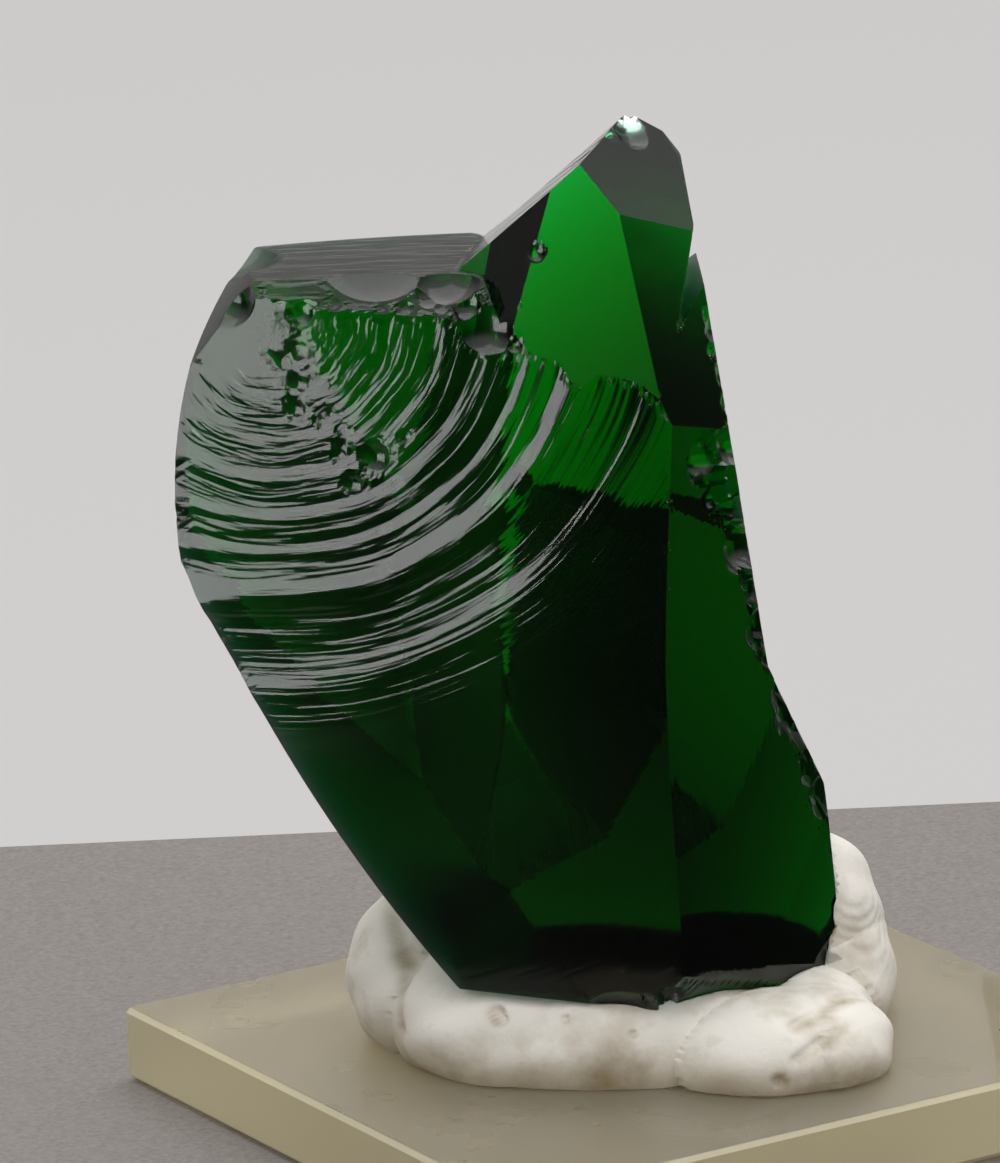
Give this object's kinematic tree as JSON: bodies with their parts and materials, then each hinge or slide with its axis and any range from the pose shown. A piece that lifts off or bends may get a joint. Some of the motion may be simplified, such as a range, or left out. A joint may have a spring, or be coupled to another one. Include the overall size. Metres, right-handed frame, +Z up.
{
  "type": "andara glass",
  "caption": "Lump of dark green translucent glass with shell-like fracture ribs, stood upright in mounting putty on a square clear plate.",
  "frame": {"origin": "middle of the plate's underside", "axes": "+Z up; X and Y along the plate's edges; the glass's rippled face looks towards -X and -Y, 30.3 degrees round from -Y"},
  "size_m": [0.0525, 0.05, 0.0658],
  "materials": {
    "green_glass": "freshly broken, glossy",
    "white_putty": "kneaded, matt",
    "aged_acrylic": "polished, fine scratches, slightly yellowed"
  },
  "bodies": {
    "root": {"glass_chunk": "green_glass", "mounting_putty": "white_putty", "acrylic_base": "aged_acrylic"}
  },
  "joints": []
}
